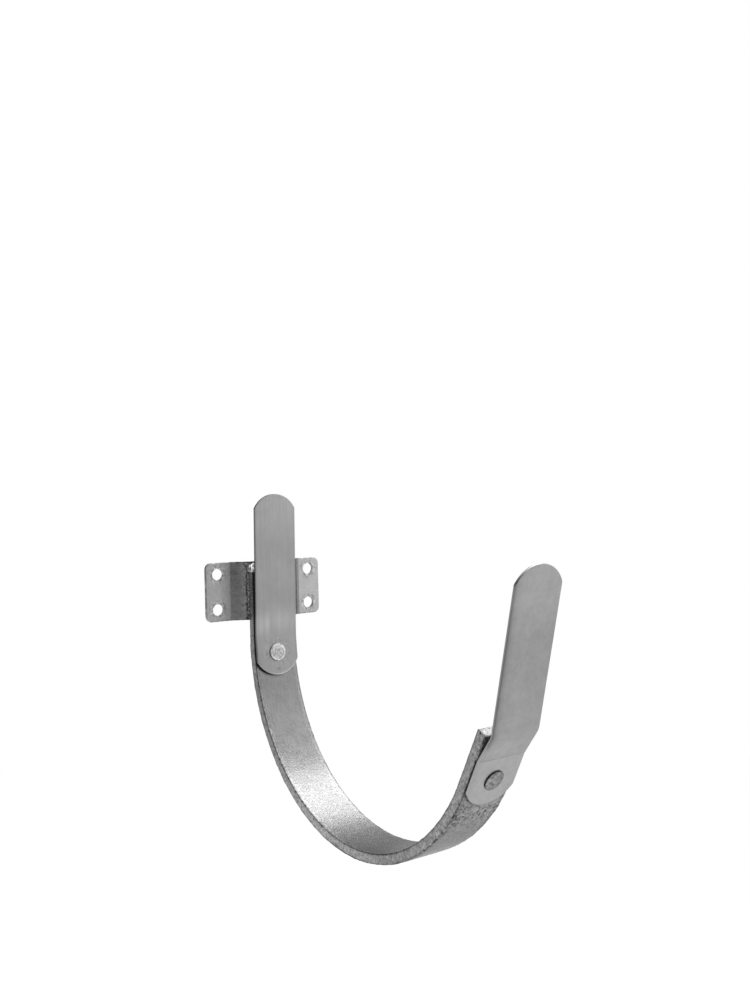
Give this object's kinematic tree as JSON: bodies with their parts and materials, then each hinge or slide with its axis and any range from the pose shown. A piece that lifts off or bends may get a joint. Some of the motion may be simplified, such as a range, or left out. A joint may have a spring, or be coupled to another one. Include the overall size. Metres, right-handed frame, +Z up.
{
  "type": "half-round gutter bracket",
  "caption": "Flat-bar hanger for a half-round gutter, with a joggled wall plate and two bend-over tongues.",
  "frame": {"origin": "centre of the four wall holes, on the wall plane (the back faces of the flanges)", "axes": "+X along the wall, +Y into the wall along the screws, +Z up; the bed hangs out towards -Y and below"},
  "size_m": [0.084, 0.2539, 0.2017],
  "materials": {
    "dipped_bar": "hot-dip galvanised, mottled",
    "dipped_sheet": "galvanised, dull",
    "brushed_strip": "fine brushed grain along the strip",
    "rivet_steel": "hammered, satin",
    "weld_metal": "rough, zinc coated"
  },
  "bodies": {
    "root": {"strap": "dipped_bar", "wall_plate": "dipped_sheet", "rear_tongue": "brushed_strip", "front_tongue": "brushed_strip", "rear_rivet": "rivet_steel", "front_rivet": "rivet_steel", "weld_bead": "weld_metal"}
  },
  "joints": []
}
